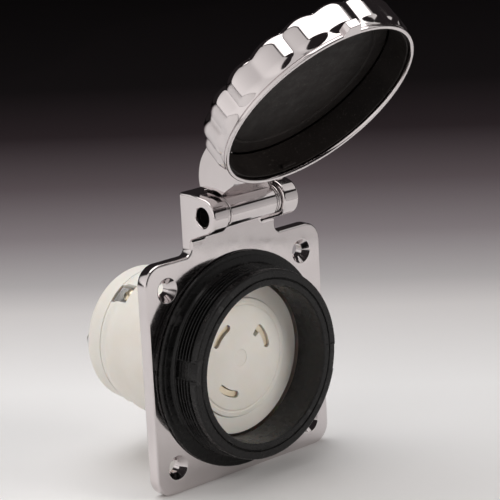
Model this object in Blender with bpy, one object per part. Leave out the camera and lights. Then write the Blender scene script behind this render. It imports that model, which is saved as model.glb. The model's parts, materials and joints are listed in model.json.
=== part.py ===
"""Flush-mount locking power receptacle with a threaded collar and a hinged twist-lock cap.

Frame: +X right, +Z up, seen from the front, which faces -Y. The origin is on the collar's
axis, in the plane of the flange plate's back face, where the wall is.
"""
import math

import bmesh
import bpy
from mathutils import Matrix, Vector

MM = 0.001
GAP = 0.3                      # clearance left between neighbouring pieces

# Flange plate
PLATE_WIDTH = 82.5
PLATE_THICK = 4.8
PLATE_CORNER = 7.0
HOLE_SPACING = 63.5
HOLE_RADIUS = 2.3
COUNTERSINK_RADIUS = 4.4
TAB_HALF_WIDTH = 19.9
TAB_TOP = 63.1
TAB_FILLET = 2.5
PORT_RADIUS = 28.2

# Hinge
PIN_Y = -11.2
PIN_Z = 55.7
PIN_RADIUS = 3.0
PIN_HALF_LENGTH = 18.2
LUG_INNER = 12.9
LUG_NOSE = 6.5
LUG_FOOT = 47.0
BARREL_RADIUS = 5.4
BARREL_LEFT = -11.0
BARREL_RIGHT = 10.6
OPEN_ANGLE = 139.2             # from closed to the open rest pose, degrees
OVER_OPEN = 5.0                # how much further the lid can be pushed before it stops

# Collar
COLLAR_FRONT = -18.4
COLLAR_BORE = 27.9
COLLAR_FACE_RADIUS = 33.6
COLLAR_FLANGE_RADIUS = 38.5
COLLAR_FLANGE_THICK = 1.4
THREAD_COUNT = 5
THREAD_PITCH = 1.45
THREAD_START = 3.0             # behind the collar's front face
THREAD_CREST = 34.0
THREAD_ROOT = 33.0
NOTCH_ANGLE = 171.2
NOTCH_WIDTH = 6.6
NOTCH_FLOOR = 32.8

# Receptacle body
FACE_Y = -4.7
FACE_RADIUS = 21.3
HOUSING_FRONT = -4.2
HOUSING_RADIUS = 27.2
HOUSING_END = 42.0
HOUSING_FLANGE_RADIUS = 34.5
HOUSING_FLANGE_Y = 1.4
HOUSING_FLANGE_THICK = 2.6
COVER_RADIUS = 24.8
COVER_END = 50.5
SLOT_RADIUS = 13.0
SLOT_WIDTH = 2.6
SLOT_SPAN = 44.0
CONTACT_ANGLES = {"a": 25.0, "b": 240.0, "c": 130.0}
TERMINAL_LAG = 12.0            # each window and wire hole sits this far round from its contact
CLAMP_LAG = 1.0                # and each clamp and its screw this far
CLAMP_SCREW_Y = 34.3
WINDOW_SPAN = 17.4             # degrees of the opening over each clamp
RECESS_SPAN = 39.0             # and of the shallow recess that it lies in
RECESS_FLOOR = 26.3
WINDOW_START = 32.0
SCREW_CIRCLE = 30.6
COVER_SCREW_ANGLES = (65.0, 175.0)
COVER_SCREW_CIRCLE = 20.6

# Cap
MOUTH_Y = -6.8                 # plane of the closed cap's rim
CAP_DEPTH = 14.9
CAP_LIP_RADIUS = 37.25
CAP_LOBE_PEAK = 38.35
CAP_LOBE_TROUGH = 37.15
CAP_LOBES = 18
CAP_RIM_BORE = 35.9
CAP_WALL_BORE = 36.3
CAP_FLOOR_DEPTH = 13.8
CAP_INDEX_ANGLE = 258.0        # where the finger tab points on the closed cap
CAP_TAB_RADIUS = 40.9
PAD_FRONT_DEPTH = 11.9
LINER_INNER = 35.3
LINER_OUTER = 36.0
LINER_START = 1.5
LUG_TIP_RADIUS = 34.4
LUG_SPAN = 9.0                 # degrees round the sleeve
LUG_FRONT = 2.2                # depths behind the cap's mouth
LUG_BACK = 3.4
RIVET_RADIUS = 2.5
ARM_HALF_WIDTH = 14.0
ARM_UNDERSIDE = MOUTH_Y - CAP_DEPTH - 1.1
BOSS_RADIUS = 8.0


# ---------------------------------------------------------------- shared helpers

def clear_scene():
    for obj in list(bpy.data.objects):
        bpy.data.objects.remove(obj, do_unlink=True)


def material(name, colour, roughness, metallic=0.0):
    found = bpy.data.materials.get(name)
    if found:
        return found
    made = bpy.data.materials.new(name)
    made.use_nodes = True
    shader = made.node_tree.nodes["Principled BSDF"]
    shader.inputs["Base Color"].default_value = (*colour, 1.0)
    shader.inputs["Roughness"].default_value = roughness
    shader.inputs["Metallic"].default_value = metallic
    return made


def polished_steel():
    return material("polished_steel", (0.74, 0.72, 0.71), 0.08, 1.0)


def black_plastic():
    return material("black_plastic", (0.02, 0.02, 0.022), 0.35)


def white_nylon():
    return material("white_nylon", (0.82, 0.78, 0.72), 0.45)


def black_rubber():
    return material("black_rubber", (0.03, 0.028, 0.027), 0.7)


def brass():
    return material("brass", (0.72, 0.50, 0.22), 0.3, 1.0)


def zinc_steel():
    return material("zinc_steel", (0.55, 0.54, 0.53), 0.35, 1.0)


def polar(radius, degrees):
    """A point (x, z) in a plane across the collar's axis."""
    turn = math.radians(degrees)
    return radius * math.cos(turn), radius * math.sin(turn)


def arc(centre, radius, start, end, steps):
    """Points along an arc, from start to end in degrees, both included."""
    turns = (math.radians(start + (end - start) * i / steps) for i in range(steps + 1))
    return [(centre[0] + radius * math.cos(t), centre[1] + radius * math.sin(t)) for t in turns]


def finish(bm, name, surface, sharp=35.0):
    """Turn a closed bmesh in millimetres into an object in metres."""
    bmesh.ops.recalc_face_normals(bm, faces=bm.faces)
    if bm.calc_volume(signed=True) < 0:
        bmesh.ops.reverse_faces(bm, faces=bm.faces)
    bmesh.ops.scale(bm, vec=Vector((MM, MM, MM)), verts=bm.verts)
    mesh = bpy.data.meshes.new(name)
    bm.to_mesh(mesh)
    bm.free()
    mesh.shade_smooth()
    mesh.set_sharp_from_angle(angle=math.radians(sharp))
    obj = bpy.data.objects.new(name, mesh)
    bpy.context.scene.collection.objects.link(obj)
    if surface:
        mesh.materials.append(surface)
    return obj


def turned(name, profile, surface=None, segments=48, shape=None):
    """Turn a closed (radius, y) profile about the Y axis. Radius 0 makes a pole.

    shape(index, radius, angle) may change the radius of profile point index.
    """
    bm = bmesh.new()
    rings = []
    for index, (radius, y) in enumerate(profile):
        if radius == 0:
            rings.append([bm.verts.new((0, y, 0))])
            continue
        ring = []
        for step in range(segments):
            angle = 2 * math.pi * step / segments
            r = shape(index, radius, angle) if shape else radius
            ring.append(bm.verts.new((r * math.cos(angle), y, r * math.sin(angle))))
        rings.append(ring)
    for low, high in zip(rings, rings[1:] + rings[:1]):
        if len(low) == 1 and len(high) == 1:
            continue
        for step in range(segments):
            after = (step + 1) % segments
            if len(low) == 1:
                bm.faces.new((low[0], high[step], high[after]))
            elif len(high) == 1:
                bm.faces.new((low[step], low[after], high[0]))
            else:
                bm.faces.new((low[step], low[after], high[after], high[step]))
    return finish(bm, name, surface)


def prism(name, outline, axis, low, high, surface=None):
    """Extrude an outline along X, whose points are (y, z), or along Y, whose points are (x, z)."""
    bm = bmesh.new()
    caps = []
    for level in (low, high):
        if axis == "X":
            caps.append([bm.verts.new((level, a, b)) for a, b in outline])
        else:
            caps.append([bm.verts.new((a, level, b)) for a, b in outline])
    bm.faces.new(caps[0])
    bm.faces.new(caps[1])
    count = len(outline)
    for i in range(count):
        j = (i + 1) % count
        bm.faces.new((caps[0][i], caps[0][j], caps[1][j], caps[1][i]))
    return finish(bm, name, surface)


def rod(name, radius, start, end, surface=None, segments=24):
    """A cylinder between two points in millimetres."""
    a, b = Vector(start), Vector(end)
    bm = bmesh.new()
    bmesh.ops.create_cone(bm, cap_ends=True, segments=segments, radius1=radius, radius2=radius,
                          depth=(b - a).length)
    turn = (b - a).to_track_quat("Z", "Y").to_matrix().to_4x4()
    bmesh.ops.transform(bm, matrix=Matrix.Translation((a + b) / 2) @ turn, verts=bm.verts)
    return finish(bm, name, surface)


def block(name, low, high, surface=None):
    outline = [(low[0], low[2]), (high[0], low[2]), (high[0], high[2]), (low[0], high[2])]
    return prism(name, outline, "Y", low[1], high[1], surface)


def turn_about_y(obj, degrees):
    """Turn an object's mesh counterclockwise, as seen from the front, about the collar's axis."""
    obj.data.transform(Matrix.Rotation(math.radians(-degrees), 4, "Y"))


def combine(obj, tool, operation):
    """Cut, join or intersect with a tool that is itself left out of the build."""
    tool.hide_render = True
    tool.display_type = "WIRE"
    change = obj.modifiers.new(tool.name, "BOOLEAN")
    change.operation = operation
    change.solver = "EXACT"
    change.object = tool


def cut(obj, *tools):
    for tool in tools:
        combine(obj, tool, "DIFFERENCE")


def join(obj, *tools):
    for tool in tools:
        combine(obj, tool, "UNION")


def soften(obj, width, segments=2, angle=40.0):
    edge = obj.modifiers.new("edge", "BEVEL")
    edge.width = width * MM
    edge.segments = segments
    edge.limit_method = "ANGLE"
    edge.angle_limit = math.radians(angle)


def ring_sector(name, inner, outer, centre, span, low, high, surface=None, steps=8):
    """A curved bar: a sector of a ring about the collar's axis."""
    start, end = centre - span / 2, centre + span / 2
    outline = arc((0, 0), outer, start, end, steps) + arc((0, 0), inner, end, start, steps)
    return prism(name, outline, "Y", low, high, surface)


def ring_profile(inner, outer, low, high):
    return [(inner, low), (outer, low), (outer, high), (inner, high)]


# ---------------------------------------------------------------- flange and hinge lugs

def plate_outline():
    """The square flange with its hinge tab, counterclockwise from the lower left corner."""
    half = PLATE_WIDTH / 2
    inner = half - PLATE_CORNER
    foot = half + TAB_FILLET
    points = arc((-inner, -inner), PLATE_CORNER, 180, 270, 6)
    points += arc((inner, -inner), PLATE_CORNER, 270, 360, 6)
    points += arc((inner, inner), PLATE_CORNER, 0, 90, 6)
    points += arc((TAB_HALF_WIDTH + TAB_FILLET, foot), TAB_FILLET, 270, 180, 4)
    points += [(TAB_HALF_WIDTH, TAB_TOP), (-TAB_HALF_WIDTH, TAB_TOP)]
    points += arc((-TAB_HALF_WIDTH - TAB_FILLET, foot), TAB_FILLET, 0, -90, 4)
    points += arc((-inner, inner), PLATE_CORNER, 90, 180, 6)
    return points


def lug_outline():
    """One hinge lug in (y, z): from inside the tab forward round the pin."""
    root = -1.0
    nose = arc((PIN_Y, PIN_Z), LUG_NOSE, 90, 255, 10)
    top = [(root, LUG_FOOT), (root, TAB_TOP), (-PLATE_THICK, TAB_TOP)]
    return top + nose + [(-PLATE_THICK, LUG_FOOT)]


def countersink(name, x, z):
    """A screw hole's shape: through hole and cone, with its wide end in front of the plate."""
    over = 0.4
    drop = COUNTERSINK_RADIUS - HOLE_RADIUS
    profile = [(0, 1.0), (HOLE_RADIUS, 1.0), (HOLE_RADIUS, -PLATE_THICK + drop),
               (COUNTERSINK_RADIUS + over, -PLATE_THICK - over), (0, -PLATE_THICK - over)]
    tool = turned(name, profile, segments=24)
    tool.data.transform(Matrix.Translation(Vector((x, 0, z)) * MM))
    return tool


def flange_plate():
    plate = prism("flange_plate", plate_outline(), "Y", -PLATE_THICK, 0, polished_steel())
    soften(plate, 0.8, 1, 60)
    for side, inner in (("left", -TAB_HALF_WIDTH), ("right", LUG_INNER)):
        outer = inner + TAB_HALF_WIDTH - LUG_INNER
        lug = prism("lug_" + side, lug_outline(), "X", inner, outer)
        soften(lug, 0.7, 1, 60)
        join(plate, lug)
    cut(plate, rod("port_cut", PORT_RADIUS, (0, 1, 0), (0, -8, 0), segments=40))
    half = HOLE_SPACING / 2
    corners = ((-half, -half), (half, -half), (half, half), (-half, half))
    cut(plate, *[countersink(f"corner_cut_{i}", x, z) for i, (x, z) in enumerate(corners)])
    cut(plate, rod("pin_cut", PIN_RADIUS + GAP, (-30, PIN_Y, PIN_Z), (30, PIN_Y, PIN_Z), segments=32))
    cut(plate, *screw_holes("plate_screw_cut", -8, 2))


def hinge_pin():
    pin = rod("hinge_pin", PIN_RADIUS, (-PIN_HALF_LENGTH, PIN_Y, PIN_Z),
              (PIN_HALF_LENGTH, PIN_Y, PIN_Z), polished_steel(), 32)
    soften(pin, 0.5, 1)


def hinge_washers():
    bore = PIN_RADIUS + GAP
    spans = {"hinge_washer_left": (-12.6, -11.3), "hinge_washer_right_inner": (10.9, 11.5),
             "hinge_washer_right_outer": (11.8, 12.6)}
    for name, (low, high) in spans.items():
        washer = turned(name, ring_profile(bore, BARREL_RADIUS - 0.2, low, high), polished_steel(), 28)
        washer.data.transform(Matrix.Rotation(math.radians(-90), 4, "Z"))
        washer.data.transform(Matrix.Translation(Vector((0, PIN_Y, PIN_Z)) * MM))


# ---------------------------------------------------------------- collar

def screw_angles():
    return [45 + 90 * i for i in range(4)]


def screw_holes(name, low, high):
    tools = []
    for i, angle in enumerate(screw_angles()):
        x, z = polar(SCREW_CIRCLE, angle)
        tools.append(rod(f"{name}_{i}", 1.6, (x, high, z), (x, low, z), segments=12))
    return tools


def thread_profile():
    """Ridges from the front band back to the flange, as (radius, y)."""
    points = []
    root, land = 0.7, 0.4
    for i in range(THREAD_COUNT):
        y = COLLAR_FRONT + THREAD_START + i * THREAD_PITCH
        points += [(THREAD_ROOT, y + root), (THREAD_CREST, y + THREAD_PITCH - 0.3 - land),
                   (THREAD_CREST, y + THREAD_PITCH - 0.3), (THREAD_ROOT, y + THREAD_PITCH)]
    return points


def collar_profile():
    back = -PLATE_THICK - GAP
    front = COLLAR_FRONT
    flange_front = back - COLLAR_FLANGE_THICK
    points = [(COLLAR_BORE, back), (COLLAR_BORE, front + 0.5), (COLLAR_BORE + 0.5, front)]
    points += [(COLLAR_FACE_RADIUS - 0.6, front), (COLLAR_FACE_RADIUS, front + 0.6),
               (COLLAR_FACE_RADIUS, front + THREAD_START - 0.3)]
    points += thread_profile()
    points += [(THREAD_ROOT + 0.2, flange_front - 0.1), (COLLAR_FLANGE_RADIUS - 0.5, flange_front),
               (COLLAR_FLANGE_RADIUS, flange_front + 0.5), (COLLAR_FLANGE_RADIUS, back)]
    points += [(35.4, back), (35.4, back - 1.0), (33.9, back - 1.0), (33.9, back)]
    return points


def threaded_collar():
    collar = turned("threaded_collar", collar_profile(), black_plastic(), 40)
    half = NOTCH_WIDTH / 2
    low = COLLAR_FRONT - 1
    high = COLLAR_FRONT + THREAD_START + THREAD_COUNT * THREAD_PITCH - 0.6
    for side in (0, 1):
        notch = block(f"notch_{side}", (NOTCH_FLOOR, low, -half), (THREAD_CREST + 2, high, half))
        turn_about_y(notch, NOTCH_ANGLE + 180 * side)
        cut(collar, notch)
    cut(collar, *screw_holes("collar_screw_cut", -13.0, -PLATE_THICK))


def seals():
    back = -PLATE_THICK - GAP
    turned("collar_seal", ring_profile(34.2, 35.1, back - 0.7, back), black_rubber(), 36)
    turned("plate_seal", ring_profile(32.6, 34.2, GAP, HOUSING_FLANGE_Y - GAP), black_rubber(), 36)


def collar_screws():
    """Four screws that pass the housing flange and the plate into the collar."""
    seat = HOUSING_FLANGE_Y + HOUSING_FLANGE_THICK + GAP
    for i, angle in enumerate(screw_angles()):
        x, z = polar(SCREW_CIRCLE, angle)
        profile = [(0, -12.5), (1.3, -12.5), (1.3, seat), (2.6, seat), (2.6, seat + 1.2),
                   (1.9, seat + 1.8), (0, seat + 1.8)]
        screw = turned(f"collar_screw_{i + 1}", profile, zinc_steel(), 12)
        screw.data.transform(Matrix.Translation(Vector((x, 0, z)) * MM))


# ---------------------------------------------------------------- receptacle body

def terminal_angle(key):
    return CONTACT_ANGLES[key] - TERMINAL_LAG


def clamp_angle(key):
    return CONTACT_ANGLES[key] - CLAMP_LAG


def slot_tools(name, low, high, extra):
    """Cutters for the three curved slots, wider than the slot by extra."""
    tools = []
    half = SLOT_WIDTH / 2 + extra
    span = SLOT_SPAN + math.degrees(2 * extra / SLOT_RADIUS)
    for key, angle in CONTACT_ANGLES.items():
        inner, outer = SLOT_RADIUS - half, SLOT_RADIUS + half
        tools.append(ring_sector(f"{name}_{key}", inner, outer, angle, span, low, high))
    return tools


def hooked_slot(low, high):
    """The inward hook at the upper end of slot a, which sets the plug's only way in."""
    end = CONTACT_ANGLES["a"] + SLOT_SPAN / 2 - 5.0
    return ring_sector("slot_hook", SLOT_RADIUS - 3.4, SLOT_RADIUS, end, 9.8, low, high, steps=2)


def insulator_face():
    edge = 0.4
    profile = [(0, 6.0), (FACE_RADIUS, 6.0), (FACE_RADIUS, FACE_Y + edge),
               (FACE_RADIUS - edge, FACE_Y), (0, FACE_Y)]
    face = turned("insulator_face", profile, white_nylon(), 40)
    cut(face, *slot_tools("face_slot", FACE_Y - 1, 7.0, 0.0))
    cut(face, hooked_slot(FACE_Y - 1, 0.0))


def contact_carrier():
    profile = [(0, 28.0), (20.0, 28.0), (20.0, 8.4), (FACE_RADIUS, 8.4), (FACE_RADIUS, 6.3), (0, 6.3)]
    carrier = turned("contact_carrier", profile, white_nylon(), 36)
    cut(carrier, *slot_tools("carrier_slot", 5.0, 29.0, 0.0))


def contacts():
    """Each contact is a curved blade grip that ends in a terminal block."""
    names = {"a": "line_contact_a", "b": "line_contact_b", "c": "neutral_contact"}
    half = SLOT_WIDTH / 2 - GAP
    span = SLOT_SPAN - math.degrees(2 * GAP / SLOT_RADIUS)
    for key, name in names.items():
        grip = ring_sector(name, SLOT_RADIUS - half, SLOT_RADIUS + half, CONTACT_ANGLES[key], span,
                           FACE_Y + 1.0, 38.0, brass(), 6)
        base = block(name + "_base", (SLOT_RADIUS - 0.6, 29.5, -3.4), (22.4, 38.0, 3.4))
        turn_about_y(base, clamp_angle(key))
        join(grip, base)
        hole = rod(name + "_hole", 1.8, (17.0, CLAMP_SCREW_Y, 0), (23.0, CLAMP_SCREW_Y, 0), segments=12)
        turn_about_y(hole, clamp_angle(key))
        cut(grip, hole)


def terminals():
    """A steel pressure plate and a brass screw in each window."""
    for key in CONTACT_ANGLES:
        clamp = block("terminal_clamp_" + key, (23.6, 32.4, -3.0), (24.8, 41.2, 3.0), zinc_steel())
        soften(clamp, 0.3, 1)
        y = CLAMP_SCREW_Y
        hole = rod("clamp_hole_" + key, 1.8, (20.0, y, 0), (28.0, y, 0), segments=12)
        cut(clamp, hole)
        turn_about_y(clamp, clamp_angle(key))
        turn_about_y(hole, clamp_angle(key))
        profile = [(0, -26.6), (1.9, -26.6), (2.3, -26.2), (2.3, -25.1), (1.5, -25.1),
                   (1.5, -17.4), (0, -17.4)]
        screw = turned("terminal_screw_" + key, profile, brass(), 14)
        slot = block("driver_slot_" + key, (-4, -27.5, -0.4), (4, -25.9, 0.4))
        cut(screw, slot)
        aim = Matrix.Translation(Vector((0, y * MM, 0))) @ Matrix.Rotation(math.radians(90), 4, "Z")
        for piece in (screw, slot):
            piece.data.transform(aim)
            turn_about_y(piece, clamp_angle(key))


def housing_profile():
    flange_back = HOUSING_FLANGE_Y + HOUSING_FLANGE_THICK
    radius = HOUSING_RADIUS
    return [
        (FACE_RADIUS + GAP, HOUSING_FRONT + 0.3), (FACE_RADIUS + GAP + 0.3, HOUSING_FRONT),
        (COLLAR_BORE - 0.9, HOUSING_FRONT), (COLLAR_BORE - 0.5, HOUSING_FRONT + 0.4),
        (COLLAR_BORE - 0.5, HOUSING_FLANGE_Y), (HOUSING_FLANGE_RADIUS, HOUSING_FLANGE_Y),
        (HOUSING_FLANGE_RADIUS, flange_back), (radius, flange_back), (radius, 36.5),
        (COVER_RADIUS + 0.2, 40.5), (COVER_RADIUS, HOUSING_END), (22.6, HOUSING_END), (22.6, 39.0),
        (24.4, 37.0), (24.4, 9.0), (FACE_RADIUS + GAP, 8.0),
    ]


def rear_housing():
    housing = turned("rear_housing", housing_profile(), white_nylon(), 40)
    for key in CONTACT_ANGLES:
        window = ring_sector("window_" + key, 21.8, 29.0, clamp_angle(key) - 0.2, WINDOW_SPAN,
                             WINDOW_START, HOUSING_END + 1, steps=4)
        recess = ring_sector("recess_" + key, RECESS_FLOOR, 29.0, terminal_angle(key), RECESS_SPAN,
                             WINDOW_START, HOUSING_END + 1.5, steps=6)
        cut(housing, window, recess)
    for i, angle in enumerate(COVER_SCREW_ANGLES):
        x, z = polar(COVER_SCREW_CIRCLE + 0.7, angle)
        join(housing, rod(f"boss_{i}", 3.0, (x, 28.4, z), (x, HOUSING_END - 0.2, z), segments=16))
        x, z = polar(COVER_SCREW_CIRCLE, angle)
        cut(housing, rod(f"boss_hole_{i}", 1.4, (x, 32.0, z), (x, HOUSING_END + 1, z), segments=12))
    cut(housing, *screw_holes("housing_screw_cut", 0, 8))


def rear_cover():
    start = HOUSING_END + GAP
    profile = [(0, 48.0), (21.5, 48.0), (22.6, 47.0), (22.6, start), (COVER_RADIUS, start),
               (COVER_RADIUS, COVER_END - 2.4), (COVER_RADIUS - 0.7, COVER_END - 0.7),
               (COVER_RADIUS - 2.4, COVER_END), (0, COVER_END)]
    cover = turned("rear_cover", profile, white_nylon(), 40)
    for key in CONTACT_ANGLES:
        x, z = polar(12.5, terminal_angle(key))
        cut(cover, rod("wire_cut_" + key, 4.6, (x, 45, z), (x, 53, z), segments=20))
    for i, angle in enumerate(COVER_SCREW_ANGLES):
        x, z = polar(COVER_SCREW_CIRCLE, angle)
        cut(cover, rod(f"cover_cut_{i}", 1.5, (x, 45, z), (x, 53, z), segments=12))
        profile = [(0, 33.0), (1.1, 33.0), (1.1, COVER_END + GAP), (2.4, COVER_END + GAP),
                   (2.2, COVER_END + 1.4), (1.2, COVER_END + 1.9), (0, COVER_END + 1.9)]
        screw = turned(f"cover_screw_{i + 1}", profile, zinc_steel(), 12)
        screw.data.transform(Matrix.Translation(Vector((x, 0, z)) * MM))


# ---------------------------------------------------------------- cap, modelled closed

def lobe(angle):
    """0 in a flute and 1 on a lobe's crown, with a lobe at the cap's finger tab."""
    phase = angle - math.radians(CAP_INDEX_ANGLE)
    return abs(math.cos(CAP_LOBES / 2 * phase))


def cap_shell():
    peak, trough = CAP_LOBE_PEAK, CAP_LOBE_TROUGH
    lip = [(CAP_RIM_BORE + 0.2, 0), (CAP_LIP_RADIUS - 0.3, 0), (CAP_LIP_RADIUS, 0.3), (CAP_LIP_RADIUS, 1.3)]
    side = [(0.0, 1.9), (0.0, 11.2), (0.5, 12.6), (1.7, 13.9), (3.6, 14.6)]
    inside = [(28.0, CAP_DEPTH), (2.8, CAP_DEPTH), (2.8, CAP_FLOOR_DEPTH), (35.0, CAP_FLOOR_DEPTH),
              (CAP_WALL_BORE, 12.6), (CAP_WALL_BORE, 1.2), (CAP_RIM_BORE, 0.9), (CAP_RIM_BORE, 0.2)]
    profile = lip + [(trough - drop, depth) for drop, depth in side] + inside
    fluted = range(len(lip), len(lip) + len(side))

    def shape(index, radius, angle):
        return radius + (peak - trough) * lobe(angle) if index in fluted else radius

    shell = turned("cap_shell", [(r, MOUTH_Y - depth) for r, depth in profile], polished_steel(),
                   4 * CAP_LOBES, shape)
    tip, base = CAP_TAB_RADIUS, CAP_LIP_RADIUS - 0.8
    right = [(1.6, -tip), (2.2, -tip + 0.4), (3.7, -base)]
    outline = [(-x, z) for x, z in reversed(right)] + right
    tab = prism("finger_tab", outline, "Y", MOUTH_Y - 3.2, MOUTH_Y)
    turn_about_y(tab, CAP_INDEX_ANGLE - 270)
    join(shell, tab)
    return shell


def cap_liner():
    """A snap-in sleeve with two lugs that follow the collar's notches."""
    end = PAD_FRONT_DEPTH - GAP
    profile = ring_profile(LINER_INNER, LINER_OUTER, MOUTH_Y - end, MOUTH_Y - LINER_START)
    liner = turned("cap_liner", profile, black_plastic(), 40)
    overlap = 0.35
    for side in (0, 1):
        angle = CAP_INDEX_ANGLE + 180 * side
        join(liner, ring_sector(f"liner_lug_{side}", LUG_TIP_RADIUS, LINER_INNER + overlap, angle,
                                LUG_SPAN, MOUTH_Y - LUG_BACK, MOUTH_Y - LUG_FRONT, steps=3))
    return liner


def cap_pad():
    front, back = PAD_FRONT_DEPTH, CAP_FLOOR_DEPTH - GAP
    recess = back - 0.8                       # over the rivet's inner head
    profile = [(0, front), (28.8, front), (29.1, front + 0.4), (29.7, front + 0.4), (30.0, front),
               (34.6, front), (35.0, front + 0.4), (35.0, back), (5.6, back), (5.6, recess), (0, recess)]
    return turned("cap_pad", [(r, MOUTH_Y - depth) for r, depth in profile], black_rubber(), 40)


def arm_outline():
    """The arm's side view in (y, z), from the pin: over the hinge, round the cap, to its centre."""
    reach = PIN_Z + BOSS_RADIUS
    under = ARM_UNDERSIDE + 1.0 - PIN_Y
    outer = [(-4.2, 3.3), (-7.6, -0.4), (-10.6, -2.3), (-13.0, -4.5), (-14.9, -7.5), (-16.1, -10.8),
             (-16.5, -14.5), (-16.4, -18.0), (-15.9, -30.0), (-15.4, -42.0)]
    inner = [(under, -reach), (under, -20.0), (0.1, -20.0), (0.3, -15.2), (-1.2, -10.0), (-1.6, -4.8),
             (0, 0)]
    points = outer + [(-15.2, -reach)] + inner
    return [(PIN_Y + y, PIN_Z + z) for y, z in points]


def arm_plan():
    """The arm's front view in (x, z): a wide root that tapers to the boss."""
    root = PIN_Z + 8
    wide = ARM_HALF_WIDTH
    boss = arc((0, 0), BOSS_RADIUS, -160, -20, 10)
    left = [(wide, root), (-wide, root), (-wide, 36.0), (-wide + 1.5, 30.0)]
    return left + boss + [(wide - 1.5, 30.0), (wide, 36.0)]


def swung(points, degrees):
    """Turn (y, z) offsets from the pin about it and make them absolute."""
    c, s = math.cos(math.radians(degrees)), math.sin(math.radians(degrees))
    return [(PIN_Y + c * y - s * z, PIN_Z + s * y + c * z) for y, z in points]


def lug_room(side, low, high):
    """Space beside the neck for a lug: round its nose, and over the tab's top when open."""
    room = LUG_NOSE + 2.0
    above = TAB_TOP - PIN_Z + 0.9
    over_tab = [(-1.5, above), (15.0, above), (15.0, 0.0), (0.5, 0.0)]
    spaces = [rod("nose_room_" + side, room, (low, PIN_Y, PIN_Z), (high, PIN_Y, PIN_Z), segments=32)]
    for i, degrees in enumerate((OPEN_ANGLE, OPEN_ANGLE + OVER_OPEN)):
        over = 0.01 * (i + 1)
        outline = swung(over_tab, degrees)
        spaces.append(prism(f"tab_room_{side}_{i}", outline, "X", low - over, high + over))
    return spaces


def heel_room():
    """Space between the lugs for the tab's top edge when the lid is pushed past its rest."""
    front = -PLATE_THICK - PIN_Y - 0.25
    above = TAB_TOP - PIN_Z + 0.2
    return prism("heel_room", swung([(front, above), (9.0, above), (9.0, -2.0), (front, -2.0)],
                                    OPEN_ANGLE + OVER_OPEN), "X", -22, 22)


def hinge_arm():
    arm = prism("hinge_arm", arm_outline(), "X", -20, 20, polished_steel())
    combine(arm, prism("arm_plan", arm_plan(), "Y", -40, 10), "INTERSECT")
    neck = 0.3
    cut(arm, *lug_room("left", -21, BARREL_LEFT + neck), *lug_room("right", BARREL_RIGHT - neck, 21))
    clear = CAP_LOBE_PEAK + 0.5
    room = [(0, -4.0), (clear, -4.0), (clear, ARM_UNDERSIDE), (0, ARM_UNDERSIDE)]
    cut(arm, turned("cap_room", room, segments=64), heel_room())
    edge = 0.4
    radius, low, high = BARREL_RADIUS, BARREL_LEFT, BARREL_RIGHT
    profile = [(0, low), (radius - edge, low), (radius, low + edge),
               (radius, high - edge), (radius - edge, high), (0, high)]
    barrel = turned("barrel", profile, segments=32)
    barrel.data.transform(Matrix.Rotation(math.radians(-90), 4, "Z"))
    barrel.data.transform(Matrix.Translation(Vector((0, PIN_Y, PIN_Z)) * MM))
    join(arm, barrel)
    cut(arm, rod("barrel_bore", PIN_RADIUS + GAP, (-20, PIN_Y, PIN_Z), (20, PIN_Y, PIN_Z), segments=32))
    cut(arm, rod("rivet_bore", RIVET_RADIUS + GAP, (0, -40, 0), (0, -10, 0), segments=20))
    return arm


def cap_rivet():
    """The pivot that the cap turns on: a domed head outside and a flat one under the pad."""
    top = -26.7
    floor = MOUTH_Y - CAP_FLOOR_DEPTH + GAP
    head = 4.8
    profile = [(0, top - 1.9), (2.6, top - 1.7), (4.4, top - 0.9), (head, top), (RIVET_RADIUS, top),
               (RIVET_RADIUS, floor), (head, floor), (head, floor + 0.5), (0, floor + 0.5)]
    return turned("cap_rivet", profile, polished_steel(), 24)


def swivel_washer():
    back = MOUTH_Y - CAP_DEPTH
    return turned("swivel_washer", ring_profile(3.1, 7.0, back - 0.8, back - GAP), polished_steel(), 24)


def hang_cap(pieces):
    """Hang the closed cap's pieces on the hinge axis and swing them to the open rest pose."""
    hinge = bpy.data.objects.new("lid_hinge", None)
    bpy.context.scene.collection.objects.link(hinge)
    pivot = Vector((0, PIN_Y, PIN_Z)) * MM
    hinge.location = pivot
    hinge.rotation_euler = (math.radians(-OPEN_ANGLE), 0, 0)
    for piece in pieces:
        for part in [piece] + [m.object for m in piece.modifiers if m.type == "BOOLEAN"]:
            part.data.transform(Matrix.Translation(-pivot))
            part.parent = hinge


def build():
    clear_scene()
    flange_plate()
    hinge_pin()
    hinge_washers()
    threaded_collar()
    seals()
    collar_screws()
    insulator_face()
    contact_carrier()
    contacts()
    terminals()
    rear_housing()
    rear_cover()
    hang_cap([cap_shell(), cap_liner(), cap_pad(), hinge_arm(), cap_rivet(), swivel_washer()])


build()
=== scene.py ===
"""Looks for the flanged locking receptacle: fine meshes, materials, studio light and camera.

Lengths here are millimetres, and a mesh is scaled to metres when it is finished. The frame is the
CAD's: +X right and +Z up seen from the front, which faces -Y, with the origin on the collar's
axis in the plane of the plate's back. Pieces of the lid are made shut, round that same axis, and
are then swung open about the hinge pin.
"""
import json
import math

import bmesh
import bpy
from mathutils import Matrix, Vector


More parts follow.
